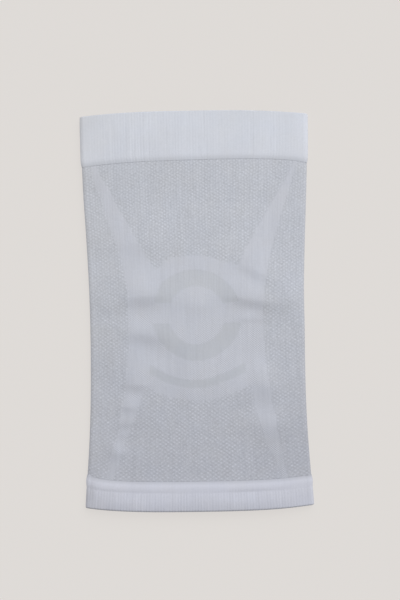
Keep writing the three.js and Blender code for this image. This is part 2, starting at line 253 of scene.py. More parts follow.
def sleevePoints(share, y, proud, inset, droop=0.0):  # share runs round from the middle of the back, by +X
    share, y, proud, inset, droop = np.broadcast_arrays(share, y, proud, inset, droop)
    half = np.polyval(edge, y - bowAt(y)) + proud - inset
    radius = form["foldRadius"] + proud / 2 - inset
    flat = half - radius
    turn = np.pi * radius
    around = 4 * flat + 2 * turn
    gone = share * around
    right = (gone - flat) / radius - np.pi / 2
    left = (gone - 3 * flat - turn) / radius + np.pi / 2
    part = [gone < flat, gone < flat + turn, gone < 3 * flat + turn, gone < 3 * flat + 2 * turn]
    frontX = 2 * flat + turn - gone
    x = np.select(
        part, [gone, flat + radius * np.cos(right), frontX, radius * np.cos(left) - flat], gone - around
    )
    inSeam = np.exp(-((y - bodyHigh.y) / form["seamReach"]) ** 2)
    inSeam = inSeam + np.exp(-((y - bodyLow.y) / form["seamReach"]) ** 2)
    inset = inset + np.where(proud > 0, 0, form["seamDip"] * inSeam)
    out = np.clip(np.abs(frontX) / flat, 0, 1)
    powers = [form["calfPower"], form["kneePower"], form["thighPower"]]
    power = np.interp(y, [bodyLow.y, 0.0, bodyHigh.y], powers)
    crown = (1 - out**power) ** 2
    slack = form["slack"] * np.interp(y, tubeEnds, [0, 1, 1, 0])
    rise = (form["crownHeight"] - slack - 2 * form["foldRadius"] - droop) * crown
    rise = rise + unevenAt(frontX, y) * (1 - out ** form["foldPower"])
    z = np.select(
        part,
        [inset, inset + radius * (1 + np.sin(right)), inset + 2 * radius + rise,
         inset + radius * (1 + np.sin(left))],
        inset,
    )
    out = np.clip(x / half, -1, 1)
    x = x + out * np.where(x < 0, sideAt(y, "left"), sideAt(y, "right"))
    bowed = y - bowAt(y) * np.abs(out) ** form["bowPower"] + seamShift(out, y)
    return np.stack([x, bowed, z], axis=-1)


def outwardOf(points):  # unit normals of a grid of rows along the sleeve and columns round it
    alongRow = np.gradient(points, axis=1)
    alongColumn = np.gradient(points, axis=0)
    normal = np.cross(alongColumn, alongRow)
    return normal / np.linalg.norm(normal, axis=-1, keepdims=True)


def makeObject(name, points, faces, values):
    mesh = bpy.data.meshes.new(name)
    mesh.from_pydata(points.reshape(-1, 3), [], faces)
    for label, data in values.items():
        if data.ndim == 1:
            mesh.attributes.new(label, "FLOAT", "POINT").data.foreach_set("value", data.astype(np.float32))
        else:
            vectors = mesh.attributes.new(label, "FLOAT_VECTOR", "POINT")
            vectors.data.foreach_set("vector", data.astype(np.float32).ravel())
    mesh.update()
    piece = bpy.data.objects.new(name, mesh)
    bpy.context.scene.collection.objects.link(piece)
    return piece


# small helpers for node trees
def wire(tree, value, socket):
    if isinstance(value, bpy.types.NodeSocket):
        tree.links.new(value, socket)
    else:
        socket.default_value = value


def calc(tree, operation, *values):
    node = tree.nodes.new("ShaderNodeMath")
    node.operation = operation
    for value, socket in zip(values, node.inputs):
        wire(tree, value, socket)
    return node.outputs[0]


def noiseFac(tree, vector, scale, detail):
    node = tree.nodes.new("ShaderNodeTexNoise")
    node.inputs["Scale"].default_value = scale
    node.inputs["Detail"].default_value = detail
    wire(tree, vector, node.inputs["Vector"])
    return node.outputs["Fac"]


def swing(tree, vector, scale, detail):  # noise that swings round 0, by half at most
    return calc(tree, "SUBTRACT", noiseFac(tree, vector, scale, detail), 0.5)


def newTree(name, inputs):
    tree = bpy.data.node_groups.new(name, "GeometryNodeTree")
    tree.interface.new_socket("Geometry", in_out="INPUT", socket_type="NodeSocketGeometry")
    for label, kind in inputs.items():
        tree.interface.new_socket(label, in_out="INPUT", socket_type="NodeSocket" + kind)
    tree.interface.new_socket("Geometry", in_out="OUTPUT", socket_type="NodeSocketGeometry")
    return tree, tree.nodes.new("NodeGroupInput").outputs


def attribute(tree, name, kind="FLOAT"):
    node = tree.nodes.new("GeometryNodeInputNamedAttribute")
    node.data_type = kind
    node.inputs["Name"].default_value = name
    return node.outputs["Attribute"]


def randomFor(tree, ident, seed):  # from -1 to 1, the same for the same number
    node = tree.nodes.new("FunctionNodeRandomValue")
    node.data_type = "FLOAT"
    node.inputs[2].default_value = -1.0
    node.inputs[3].default_value = 1.0
    wire(tree, ident, node.inputs["ID"])
    wire(tree, seed, node.inputs["Seed"])
    return node.outputs[1]


def closeTree(tree, geometry, material):  # every tree ends alike
    realize = tree.nodes.new("GeometryNodeRealizeInstances")
    paint = tree.nodes.new("GeometryNodeSetMaterial")
    ending = tree.nodes.new("NodeGroupOutput")
    wire(tree, geometry, realize.inputs["Geometry"])
    wire(tree, realize.outputs["Geometry"], paint.inputs["Geometry"])
    wire(tree, material, paint.inputs["Material"])
    wire(tree, paint.outputs["Geometry"], ending.inputs["Geometry"])


def raised(tree, geometry, height, lift):  # moves each point outwards and keeps its lift for the material
    move = tree.nodes.new("GeometryNodeSetPosition")
    along = tree.nodes.new("ShaderNodeVectorMath")
    keep = tree.nodes.new("GeometryNodeStoreNamedAttribute")
    along.operation = "SCALE"
    keep.data_type = "FLOAT"
    keep.domain = "POINT"
    keep.inputs["Name"].default_value = "lift"
    wire(tree, attribute(tree, "outward", "FLOAT_VECTOR"), along.inputs[0])
    wire(tree, height, along.inputs["Scale"])
    wire(tree, geometry, move.inputs["Geometry"])
    wire(tree, along.outputs[0], move.inputs["Offset"])
    wire(tree, move.outputs["Geometry"], keep.inputs["Geometry"])
    wire(tree, lift, keep.inputs["Value"])
    return keep.outputs["Geometry"]


sharpAngle = 50.0  # in degrees; softer bends are shaded smooth


def worked(piece, tree, values):  # runs a tree on a piece and keeps its result as a plain mesh
    modifier = piece.modifiers.new(tree.name, "NODES")
    modifier.node_group = tree
    for item in tree.interface.items_tree:
        if item.in_out == "INPUT" and item.name in values:
            modifier[item.identifier] = values[item.name]
    depsgraph = bpy.context.evaluated_depsgraph_get()
    mesh = bpy.data.meshes.new_from_object(piece.evaluated_get(depsgraph))
    piece.modifiers.remove(modifier)
    bare = piece.data
    piece.data = mesh
    bpy.data.meshes.remove(bare)
    mesh.name = piece.name
    mesh.shade_smooth()
    mesh.set_sharp_from_angle(angle=math.radians(sharpAngle))
    return piece


# one stitch is one point of the tube's grid
knit = {
    "wales": 324,
    "courses": 352,
    "spread": 0.135,  # how much wider apart the courses lie at the calf than at the thigh
    "wall": 0.0015,
    "blend": 1,  # how many stitches one zone takes to run into the next
    "dotHeight": 0.00014,
    "latticeHeight": 0.00006,
    "lineHeight": 0.00003,
    "arcSink": 0.00005,
    "unevenness": 0.000035,
    "numberStep": 1000.0,  # gives every stitch a number of its own
    "seed": 7,
}

# the cuffs, both ribbed and turned over at the edge
cuff = {
    "proud": 0.0006,
    "wall": 0.0022,
    "ribs": 162,
    "pointsInRib": 6,
    "course": 0.0007,
    "rimReach": 0.0012,
    "seamTone": 0.2,  # how white a cuff is right at its seam; the tone falls towards the seam as a painted shade
    "fadeScale": 0.7,
    "fadeAlong": 0.06,
    "seed": 11,
}

edge = edgeCurve()


def stitchTree():
    tree, given = newTree("stitchRelief", {
        "Dot height": "Float", "Lattice height": "Float", "Line height": "Float", "Arc sink": "Float",
        "Unevenness": "Float", "Seed": "Int", "Material": "Material",
    })
    wale, course = attribute(tree, "wale"), attribute(tree, "course")
    web, arc = attribute(tree, "webShare"), attribute(tree, "arcShare")
    quarter = math.pi / 2
    mesh = calc(tree, "SUBTRACT", calc(tree, "SUBTRACT", 1.0, web), arc)
    dots = calc(tree, "MULTIPLY", calc(tree, "COSINE", calc(tree, "MULTIPLY", wale, quarter)),
                calc(tree, "COSINE", calc(tree, "MULTIPLY", course, quarter)))
    lattice = calc(tree, "COSINE", calc(tree, "MULTIPLY", calc(tree, "ADD", wale, course), math.pi))
    lines = calc(tree, "COSINE", calc(tree, "MULTIPLY", wale, math.pi))
    dots = calc(tree, "MULTIPLY", mesh, dots)
    lattice = calc(tree, "MULTIPLY", web, lattice)
    lines = calc(tree, "MULTIPLY", arc, lines)
    lift = calc(tree, "ADD", calc(tree, "ADD", dots, lattice), lines)
    chance = randomFor(tree, calc(tree, "MULTIPLY_ADD", course, knit["numberStep"], wale), given["Seed"])
    height = calc(tree, "MULTIPLY", chance, given["Unevenness"])
    height = calc(tree, "MULTIPLY_ADD", dots, given["Dot height"], height)
    height = calc(tree, "MULTIPLY_ADD", lattice, given["Lattice height"], height)
    height = calc(tree, "MULTIPLY_ADD", lines, given["Line height"], height)
    height = calc(tree, "SUBTRACT", height, calc(tree, "MULTIPLY", arc, given["Arc sink"]))
    height = calc(tree, "MULTIPLY", height, attribute(tree, "outside"))
    closeTree(tree, raised(tree, given["Geometry"], height, lift), given["Material"])
    return tree


def ribTree():
    tree, given = newTree("cuffRibs", {
        "Rib depth": "Float", "Unevenness": "Float", "Fading": "Float",
        "Seed": "Int", "Material": "Material",
    })
    rib, course = attribute(tree, "rib"), attribute(tree, "course")
    wave = calc(tree, "COSINE", calc(tree, "MULTIPLY", rib, 2 * math.pi))
    chance = randomFor(tree, calc(tree, "ROUND", rib), given["Seed"])
    spot = tree.nodes.new("ShaderNodeCombineXYZ")
    wire(tree, calc(tree, "ROUND", rib), spot.inputs["X"])
    wire(tree, calc(tree, "MULTIPLY", course, cuff["fadeAlong"]), spot.inputs["Y"])
    fade = swing(tree, spot.outputs[0], cuff["fadeScale"], 2.0)  # a rib comes and goes
    strength = calc(tree, "MULTIPLY_ADD", chance, given["Unevenness"], 1.0)
    strength = calc(tree, "MULTIPLY_ADD", fade, given["Fading"], strength)
    strength = calc(tree, "MULTIPLY", calc(tree, "MAXIMUM", strength, 0.0), attribute(tree, "ribbed"))
    fall = calc(tree, "MULTIPLY", calc(tree, "MULTIPLY_ADD", wave, 0.5, -0.5), strength)
    closeTree(tree, raised(tree, given["Geometry"], calc(tree, "MULTIPLY", fall, given["Rib depth"]),
                           calc(tree, "MULTIPLY", wave, strength)), given["Material"])
    return tree


# tones of the yarn along the sleeve; each tone is deepest at the calf and palest at the thigh
tones = {
    "rib": {"calf": (0.693, 0.708, 0.801), "knee": (0.725, 0.745, 0.830), "thigh": (0.770, 0.798, 0.868)},
    "mesh": {"calf": (0.495, 0.509, 0.569), "knee": (0.595, 0.617, 0.677), "thigh": (0.649, 0.672, 0.733)},
    "plain": {"calf": (0.524, 0.541, 0.606), "knee": (0.643, 0.665, 0.735), "thigh": (0.700, 0.720, 0.790)},
    "thin": {"calf": (0.466, 0.488, 0.544), "knee": (0.600, 0.623, 0.679), "thigh": (0.670, 0.695, 0.747)},
}

# how strongly each stitch pattern shows in the tone
patterns = {
    "dot": 0.138, "dotEdge": 0.1, "dotFade": 0.48,  # the painted highlight on the dots grows fainter towards the thigh
    # pit is a painted shade in the mesh's pores; rib paints shade in the cuffs' rib valleys and highlight
    # on their crests
    "pit": 0.05, "column": 0.040, "line": 0.02, "rib": 0.02,
    "checker": 0.125, "checkerEnd": 0.60, "checkerFull": 0.44,  # shows only below the middle of the knee
    "checkerScale": 65.0, "checkerLow": 0.36, "checkerHigh": 0.64,  # and comes and goes there
    "checkerLeast": 0.35, "checkerMost": 1.65,
}
yarn = {
    "streak": 0.14, "streakAcross": 0.45, "streakAlong": 0.02,
    "blotch": 0.10, "blotchScale": 45.0, "fibreScale": 2600.0,
    "stitch": 0.13, "plainStitch": 0.2, "glint": 3.6, "glintScale": 330.0,  # no two stitches look alike; glint varies the painted highlight on the dots
    "tint": 0.022, "coolTint": -0.044, "tintScale": 70.0,
    "warmSide": 0.40, "warmFrom": -0.05,  # a little warmer towards -X
    "drift": 1.6, "driftAlong": -2.72, "driftScale": 160.0,  # the stitches wander a little from their rows
    "bump": 0.35, "bumpDepth": 0.00015, "legs": 0.35,
    "roughness": 0.80, "roughFibre": 0.12, "specular": 0.25, "sheen": 0.15, "sheenRoughness": 0.5,
}


def attributeFac(tree, label):
    node = tree.nodes.new("ShaderNodeAttribute")
    node.attribute_name = label
    return node.outputs["Fac"]


def ranged(tree, value, low, high, kind="LINEAR"):  # 0 at low and 1 at high
    node = tree.nodes.new("ShaderNodeMapRange")
    node.interpolation_type = kind
    node.inputs["From Min"].default_value = low
    node.inputs["From Max"].default_value = high
    wire(tree, value, node.inputs["Value"])
    return node.outputs["Result"]


def mixed(tree, blend, factor, first, second):
    node = tree.nodes.new("ShaderNodeMix")
    node.data_type = "RGBA"
    node.blend_type = blend
    wire(tree, factor, node.inputs[0])
    wire(tree, first, node.inputs[6])
    wire(tree, second, node.inputs[7])
    return node.outputs[2]


def waved(tree, value, turns):  # a cosine that comes round every so many stitches
    return calc(tree, "COSINE", calc(tree, "MULTIPLY", value, 2 * math.pi / turns))


def knitFinish(name):
    material = bpy.data.materials.new(name + "Knit")
    material.use_nodes = True
    tree = material.node_tree
    shader = tree.nodes["Principled BSDF"]
    place = tree.nodes.new("ShaderNodeTexCoord").outputs["Object"]
    apart = tree.nodes.new("ShaderNodeSeparateXYZ")
    wire(tree, place, apart.inputs[0])
    along = ranged(tree, apart.outputs["Y"], calfLow.y, thighHigh.y)
    wale, course = attributeFac(tree, "wale"), attributeFac(tree, "course")
    drift = swing(tree, place, yarn["driftScale"], 1.0)
    wale = calc(tree, "MULTIPLY_ADD", drift, yarn["drift"], wale)
    course = calc(tree, "MULTIPLY_ADD", drift, yarn["driftAlong"], course)

    def toned(zone):
        node = tree.nodes.new("ShaderNodeValToRGB")
        node.color_ramp.elements[0].color = tones[zone]["calf"] + (1.0,)
        node.color_ramp.elements[1].color = tones[zone]["thigh"] + (1.0,)
        node.color_ramp.elements.new(0.5).color = tones[zone]["knee"] + (1.0,)
        wire(tree, along, node.inputs["Fac"])
        return node.outputs["Color"]

    if name == "rib":
        colour = mixed(tree, "MIX", attributeFac(tree, "ribShare"), toned("mesh"), toned("rib"))
        # painted shade in the rib valleys and painted highlight on the crests
        pattern = calc(tree, "MULTIPLY", attributeFac(tree, "lift"), patterns["rib"])
        bare = 0.0
        ribbed = attributeFac(tree, "ribbed")
    else:  # the zones of the tube run softly into each other
        web, arc = attributeFac(tree, "webShare"), attributeFac(tree, "arcShare")
        colour = mixed(tree, "MIX", web, toned("mesh"), toned("plain"))
        colour = mixed(tree, "MIX", arc, colour, toned("thin"))
        bare = calc(tree, "SUBTRACT", calc(tree, "SUBTRACT", 1.0, web), arc)
        # the mesh's raised dots carry a painted highlight and the pits between them a painted shade
        dots = calc(tree, "MULTIPLY", waved(tree, wale, 4), waved(tree, course, 4))
        glint = swing(tree, place, yarn["glintScale"], 1.0)
        glint = calc(tree, "MULTIPLY_ADD", glint, yarn["glint"], 1.0)
        dotHighlight = calc(tree, "MULTIPLY", ranged(tree, dots, patterns["dotEdge"], 1.0, "SMOOTHSTEP"), glint)
        fade = calc(tree, "MULTIPLY_ADD", along, -patterns["dotFade"], 1.0)
        dotHighlight = calc(tree, "MULTIPLY", dotHighlight, fade)
        pitShade = ranged(tree, dots, -patterns["dotEdge"], -1.0, "SMOOTHSTEP")
        column = calc(tree, "MULTIPLY", waved(tree, wale, 2), along)
        column = calc(tree, "MULTIPLY", column, patterns["column"])
        dots = calc(tree, "SUBTRACT", calc(tree, "MULTIPLY_ADD", dotHighlight, patterns["dot"], column),
                    calc(tree, "MULTIPLY", pitShade, patterns["pit"]))
        checker = calc(tree, "MULTIPLY", waved(tree, wale, 2), waved(tree, course, 2))
        loose = ranged(tree, along, patterns["checkerEnd"], patterns["checkerFull"], "SMOOTHSTEP")
        checker = calc(tree, "MULTIPLY", calc(tree, "MULTIPLY", web, loose), checker)
        shown = noiseFac(tree, place, patterns["checkerScale"], 1.0)
        shown = ranged(tree, shown, patterns["checkerLow"], patterns["checkerHigh"], "SMOOTHSTEP")
        gain = patterns["checkerMost"] - patterns["checkerLeast"]
        shown = calc(tree, "MULTIPLY_ADD", shown, gain, patterns["checkerLeast"])
        checker = calc(tree, "MULTIPLY", checker, shown)
        pattern = calc(tree, "MULTIPLY", bare, dots)
        pattern = calc(tree, "MULTIPLY_ADD", checker, patterns["checker"], pattern)
        firm = calc(tree, "MULTIPLY", arc, calc(tree, "SUBTRACT", 1.0, loose))  # the lower arcs are smooth
        lined = calc(tree, "MULTIPLY", calc(tree, "MULTIPLY_ADD", web, along, firm), waved(tree, wale, 2))
        pattern = calc(tree, "MULTIPLY_ADD", lined, patterns["line"], pattern)
        ribbed = 1.0

    stretched = tree.nodes.new("ShaderNodeCombineXYZ")
    wire(tree, calc(tree, "MULTIPLY", wale, yarn["streakAcross"]), stretched.inputs["X"])
    wire(tree, calc(tree, "MULTIPLY", course, yarn["streakAlong"]), stretched.inputs["Y"])
    streak = swing(tree, stretched.outputs[0], 1.0, 2.0)
    streak = calc(tree, "MULTIPLY", streak, ribbed)
    blotch = swing(tree, place, yarn["blotchScale"], 3.0)
    tone = calc(tree, "ADD", calc(tree, "ADD", pattern, 1.0), attributeFac(tree, "shade"))
    tone = calc(tree, "MULTIPLY_ADD", streak, yarn["streak"], tone)
    tone = calc(tree, "MULTIPLY_ADD", blotch, yarn["blotch"], tone)
    cell = tree.nodes.new("ShaderNodeCombineXYZ")
    wire(tree, calc(tree, "FLOOR", wale), cell.inputs["X"])
    wire(tree, calc(tree, "FLOOR", course), cell.inputs["Y"])
    chance = tree.nodes.new("ShaderNodeTexWhiteNoise")
    chance.noise_dimensions = "2D"
    wire(tree, cell.outputs[0], chance.inputs["Vector"])
    chance = calc(tree, "SUBTRACT", chance.outputs["Value"], 0.5)
    bare = calc(tree, "MAXIMUM", bare, yarn["plainStitch"])
    tone = calc(tree, "MULTIPLY_ADD", calc(tree, "MULTIPLY", chance, bare), yarn["stitch"], tone)
    tint = swing(tree, place, yarn["tintScale"], 2.0)  # warmer and cooler
    side = ranged(tree, apart.outputs["X"], yarn["warmFrom"], cadLow.x)
    tint = calc(tree, "MULTIPLY_ADD", side, yarn["warmSide"], tint)
    tinted = tree.nodes.new("ShaderNodeCombineColor")
    wire(tree, calc(tree, "MULTIPLY_ADD", tint, yarn["tint"], tone), tinted.inputs["Red"])
    wire(tree, tone, tinted.inputs["Green"])
    wire(tree, calc(tree, "MULTIPLY_ADD", tint, yarn["coolTint"], tone), tinted.inputs["Blue"])
    wire(tree, mixed(tree, "MULTIPLY", 1.0, colour, tinted.outputs[0]), shader.inputs["Base Color"])

    # each stitch is a V: two legs that rise away from the middle of its wale
    leg = calc(tree, "ABSOLUTE", calc(tree, "SUBTRACT", calc(tree, "FRACT", wale), 0.5))
    rows = waved(tree, calc(tree, "ADD", course, leg), 1)
    fibre = noiseFac(tree, place, yarn["fibreScale"], 2.0)
    bump = tree.nodes.new("ShaderNodeBump")
    bump.inputs["Strength"].default_value = yarn["bump"]
    bump.inputs["Distance"].default_value = yarn["bumpDepth"]
    wire(tree, calc(tree, "MULTIPLY_ADD", rows, yarn["legs"], fibre), bump.inputs["Height"])
    wire(tree, bump.outputs["Normal"], shader.inputs["Normal"])
    rough = calc(tree, "MULTIPLY_ADD", fibre, yarn["roughFibre"], yarn["roughness"])
    wire(tree, rough, shader.inputs["Roughness"])
    shader.inputs["Specular IOR Level"].default_value = yarn["specular"]
    shader.inputs["Sheen Weight"].default_value = yarn["sheen"]
    shader.inputs["Sheen Roughness"].default_value = yarn["sheenRoughness"]
    return material


materials = {name: knitFinish(name) for name in tones}
stitches = stitchTree()
ribs = ribTree()
print("materials and node trees made:", len(materials), "and 2")


def tubeGrid():
    courses = np.arange(knit["courses"] + 1)
    wales = np.arange(knit["wales"] + 1)
    t = courses / knit["courses"]
    y = bodyLow.y + (bodyHigh.y - bodyLow.y) * (t + knit["spread"] * t * (1 - t) / 2)
    share = wales / knit["wales"]
    outer = sleevePoints(share[None, :], y[:, None], 0.0, knit["dotHeight"] + knit["unevenness"])
    inner = sleevePoints(share[None, :], y[:, None], 0.0, knit["wall"])
    return outer, inner


# which solid each front stitch lies nearest to; the web's arms run on to the cuffs
zoneNodes = ["knit_body", "support_web", "kneecap_arc_upper", "kneecap_arc_lower", "tendon_arc"]
armEnd = 0.0006  # how far inside the end of an arm its last stitches are looked up
joinPasses = 4

# where the web and arcs are pulled aside in the lying sleeve, in metres
pulls = [
    {"x": 0.036, "y": 0.043, "aside": -0.0022, "along": 0.0, "reach": 0.012},
    {"x": 0.042, "y": 0.057, "aside": -0.0020, "along": 0.0, "reach": 0.010},
    {"x": 0.050, "y": 0.071, "aside": -0.0016, "along": 0.0, "reach": 0.010},
    {"x": -0.056, "y": 0.068, "aside": -0.0012, "along": 0.0, "reach": 0.012},
    {"x": -0.069, "y": 0.089, "aside": -0.0022, "along": 0.0, "reach": 0.007},
    {"x": 0.048, "y": -0.075, "aside": -0.0016, "along": 0.0, "reach": 0.022},
    {"x": 0.052, "y": -0.056, "aside": 0.0020, "along": 0.0, "reach": 0.008},
    {"x": 0.057, "y": -0.072, "aside": 0.0030, "along": 0.0, "reach": 0.009},
    {"x": 0.060, "y": -0.088, "aside": 0.0022, "along": 0.0, "reach": 0.009},
    {"x": 0.047, "y": -0.092, "aside": -0.0018, "along": 0.0, "reach": 0.008},
    {"x": 0.057, "y": -0.110, "aside": -0.0014, "along": 0.0, "reach": 0.010},
    {"x": -0.046, "y": -0.088, "aside": -0.0018, "along": 0.0, "reach": 0.008},
    {"x": -0.052, "y": -0.092, "aside": -0.0018, "along": 0.0, "reach": 0.022},
    {"x": -0.040, "y": -0.073, "aside": -0.0019, "along": 0.0, "reach": 0.008},
    {"x": -0.055, "y": -0.081, "aside": 0.0024, "along": 0.0, "reach": 0.007},
    {"x": 0.0, "y": -0.047, "aside": 0.0, "along": -0.0014, "reach": 0.016},
    {"x": -0.021, "y": -0.045, "aside": 0.0, "along": -0.0010, "reach": 0.008},
    {"x": 0.017, "y": -0.045, "aside": 0.0, "along": 0.0010, "reach": 0.008},
    {"x": -0.006, "y": -0.0215, "aside": 0.0, "along": -0.0011, "reach": 0.012},
    {"x": -0.028, "y": 0.031, "aside": 0.0016, "along": -0.0032, "reach": 0.009},
    {"x": -0.024, "y": 0.020, "aside": 0.0, "along": 0.0026, "reach": 0.008},
    {"x": -0.020, "y": 0.034, "aside": 0.0, "along": 0.0012, "reach": 0.008},
    {"x": 0.018, "y": 0.035, "aside": 0.0, "along": -0.0015, "reach": 0.009},
    {"x": 0.021, "y": 0.021, "aside": 0.0, "along": -0.0010, "reach": 0.011},
]


def zoneMap(outer):
    centres = (outer[:-1, :-1] + outer[1:, :-1] + outer[:-1, 1:] + outer[1:, 1:]) / 4
    zones = np.zeros(centres.shape[:2], int)
    trees = []
    for name in zoneNodes:
        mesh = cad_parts[name].data
        faces = [tuple(face.vertices) for face in mesh.polygons]
        trees.append(BVHTree.FromPolygons(nodePoints(name).tolist(), faces))
    front = (centres[..., 2] > form["foldRadius"]) & (np.abs(centres[..., 0]) < webHigh.x)
    for j, i in np.argwhere(front):
        x, y, z = centres[j, i]
        for row in pulls:
            pulled = math.exp(-((x - row["x"]) ** 2 + (y - row["y"]) ** 2) / row["reach"] ** 2)
            x -= row["aside"] * pulled
            y -= row["along"] * pulled
        y = min(max(y, webLow.y + armEnd), webHigh.y - armEnd)
        zones[j, i] = np.argmin([tree.find_nearest((x, y, z))[3] for tree in trees])
    for _ in range(joinPasses):  # cells that meet only at a corner are joined
        a, b, c, d = zones[:-1, :-1], zones[:-1, 1:], zones[1:, :-1], zones[1:, 1:]
        meet = (a == d) & (a != b) & (a != c) | (b == c) & (b != a) & (b != d)
        zones[:-1, :-1][meet] = zones[:-1, 1:][meet]
    return zones


def panelMap(zones, outer):  # the mesh knit falls into two front panels and the wrap round the back
    web = zones > 0
    panels = zones + 3  # the web and arcs come after the mesh knit's four panels
    columns = np.arange(zones.shape[1])
    first = np.argmax(web, axis=1)
    last = zones.shape[1] - 1 - np.argmax(web[:, ::-1], axis=1)
    inside = (columns > first[:, None]) & (columns < last[:, None])
    ringY = (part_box("kneecap_arc_upper")[0].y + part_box("kneecap_arc_lower")[1].y) / 2
    high = outer[:-1, :-1, 1] > ringY
    bare = ~web
    panels[bare & ~inside & (columns < zones.shape[1] // 2)] = 0
    panels[bare & ~inside & (columns >= zones.shape[1] // 2)] = 1
    panels[bare & inside & high] = 2
    panels[bare & inside & ~high] = 3
    return panels


def shellFaces(chosen, width, count):  # both faces of the chosen cells, and the rim round them
    j, i = np.nonzero(chosen)
    at = j * width + i
    a, b, c, d = at, at + width, at + width + 1, at + 1
    padded = np.pad(chosen, 1)
    rows = [np.stack([a, b, c, d], 1), np.stack([d, c, b, a], 1) + count]
    for p, q, dj, di in ((a, b, 0, -1), (b, c, 1, 0), (c, d, 0, 1), (d, a, -1, 0)):
        border = ~padded[j + 1 + dj, i + 1 + di]
        p, q = p[border], q[border]
        rows.append(np.stack([q, p, p + count, q + count], 1))
    return np.concatenate(rows)


def shareOf(mask):  # for each point of the grid, how many of the cells round it are in the mask, softened
    padded = np.pad(mask.astype(float), 1, mode="edge")
    share = (padded[:-1, :-1] + padded[1:, :-1] + padded[:-1, 1:] + padded[1:, 1:]) / 4
    for _ in range(knit["blend"]):
        padded = np.pad(share, 1, mode="edge")
        around = padded[:-2, 1:-1] + padded[2:, 1:-1] + padded[1:-1, :-2] + padded[1:-1, 2:]
        share = share / 2 + around / 8
    return share


# the pieces of the tube: what they stand for and how they are finished
tubePieces = [
    {"name": "mesh_right", "panel": 0, "node": "knit_body", "slot": "mesh_knit", "finish": "mesh"},
    {"name": "mesh_left", "panel": 1, "node": "knit_body", "slot": "mesh_knit", "finish": "mesh"},
    {"name": "mesh_front_upper", "panel": 2, "node": "knit_body", "slot": "mesh_knit", "finish": "mesh"},
    {"name": "mesh_front_lower", "panel": 3, "node": "knit_body", "slot": "mesh_knit", "finish": "mesh"},
    {"name": "web_knit", "panel": 4, "node": "support_web", "slot": "plain_knit", "finish": "plain"},
    {"name": "arc_upper", "panel": 5, "node": "kneecap_arc_upper", "slot": "thin_knit", "finish": "thin"},
    {"name": "arc_lower", "panel": 6, "node": "kneecap_arc_lower", "slot": "thin_knit", "finish": "thin"},
    {"name": "arc_tendon", "panel": 7, "node": "tendon_arc", "slot": "thin_knit", "finish": "thin"},
]


def makeTube():
    outer, inner = tubeGrid()
    zones = zoneMap(outer)
    panels = panelMap(zones, outer)
    height, width = outer.shape[:2]
    count = height * width
    points = np.concatenate([outer.reshape(-1, 3), inner.reshape(-1, 3)])
    course, wale = np.meshgrid(np.arange(height), np.arange(width), indexing="ij")
    grids = {
        "wale": wale,
        "course": course,
        "webShare": shareOf(zones == 1),
        "arcShare": shareOf(zones > 1),
        "shade": shadeAt(outer),
    }
    values = {label: np.tile(grid.ravel(), 2) for label, grid in grids.items()}
    values["outside"] = np.repeat([1.0, 0.0], count)
    values["outward"] = np.tile(outwardOf(outer).reshape(-1, 3), (2, 1))
    spans = np.cross(outer[1:, :-1] - outer[:-1, :-1], outer[:-1, 1:] - outer[:-1, :-1])
    cellAreas = np.linalg.norm(spans, axis=-1)
    made = {}
    for row in tubePieces:
        cells = panels == row["panel"]
        faces = shellFaces(cells, width, count)
        used, faces = np.unique(faces, return_inverse=True)
        piece = makeObject(row["name"], points[used], faces.reshape(-1, 4),
                           {label: data[used] for label, data in values.items()})
        worked(piece, stitches, {
            "Dot height": knit["dotHeight"], "Lattice height": knit["latticeHeight"],
            "Line height": knit["lineHeight"], "Arc sink": knit["arcSink"],
            "Unevenness": knit["unevenness"], "Seed": knit["seed"], "Material": materials[row["finish"]],
        })
        area = float(cellAreas[cells].sum())
        low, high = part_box(row["node"])
        wide, long = high.x - low.x, high.y - low.y
        if row["node"] == "knit_body":  # only a panel of that solid, so its own stitches are counted
            wide = float(cells.any(axis=0).sum() * 4 * bodyHigh.x / knit["wales"])
            long = float(cells.any(axis=1).sum() * (bodyHigh.y - bodyLow.y) / knit["courses"])
        made[row["name"]] = {"piece": piece, "area": area, "flat": (wide, long), **row}
        print(row["name"], len(piece.data.polygons), "faces,", round(area * 1e4, 2), "square cm")
    return made


def ringFaces(rows, columns):  # a grid closed both ways
    at = np.arange(rows * columns).reshape(rows, columns)
    up, over = np.roll(at, -1, axis=0), np.roll(at, -1, axis=1)
    return np.stack([at, up, np.roll(up, -1, axis=1), over], axis=-1).reshape(-1, 4)


def quarterTurn(steps):  # from 0 to 1 along, and from 1 to 0 down, round a quarter circle
    angle = np.linspace(0, np.pi / 2, steps)
    return 1 - np.cos(angle), 1 - np.sin(angle)


# where across the sleeve the ribs of the wide cuff show, in millimetres
ribSpots = [
    {"x": -55, "reach": 9, "more": 0.6},
    {"x": -35, "reach": 12, "more": 0.8},
    {"x": -8, "reach": 9, "more": 0.4},
    {"x": 9, "reach": 6, "more": 0.7},
    {"x": 41, "reach": 4, "more": 0.6},
    {"x": 54, "reach": 5, "more": 0.4},
]


def ribStrength(x, least):  # ribs that show all round have no spots
    total = np.full(x.shape, least)
    share = (1 - least) / (1 - thighCuff["ribLeast"])
    for row in ribSpots:
        total += row["more"] * share * np.exp(-(((x * mm - row["x"]) / row["reach"]) ** 2))
    return total


# the wide cuff above the knee
thighCuff = {
    "seamCurl": 0.0045, "seamDrop": 0.0006, "seamEase": 0.7, "seamSteps": 9,
    "edgeCurl": 0.0010, "curlSteps": 7, "liningFrom": 0.004, "liningTo": 0.002, "liningRows": 8, "lip": 0.8,
    "ribDepth": 0.00007, "unevenness": 0.5, "fading": 3.0, "ribLeast": 0.35, "plainRibs": 0.4,
    "toneReach": 0.0036, "rimTone": 0.4, "rimShade": 0.0, "backRim": 1.0, "bodyTone": 1.0,
}


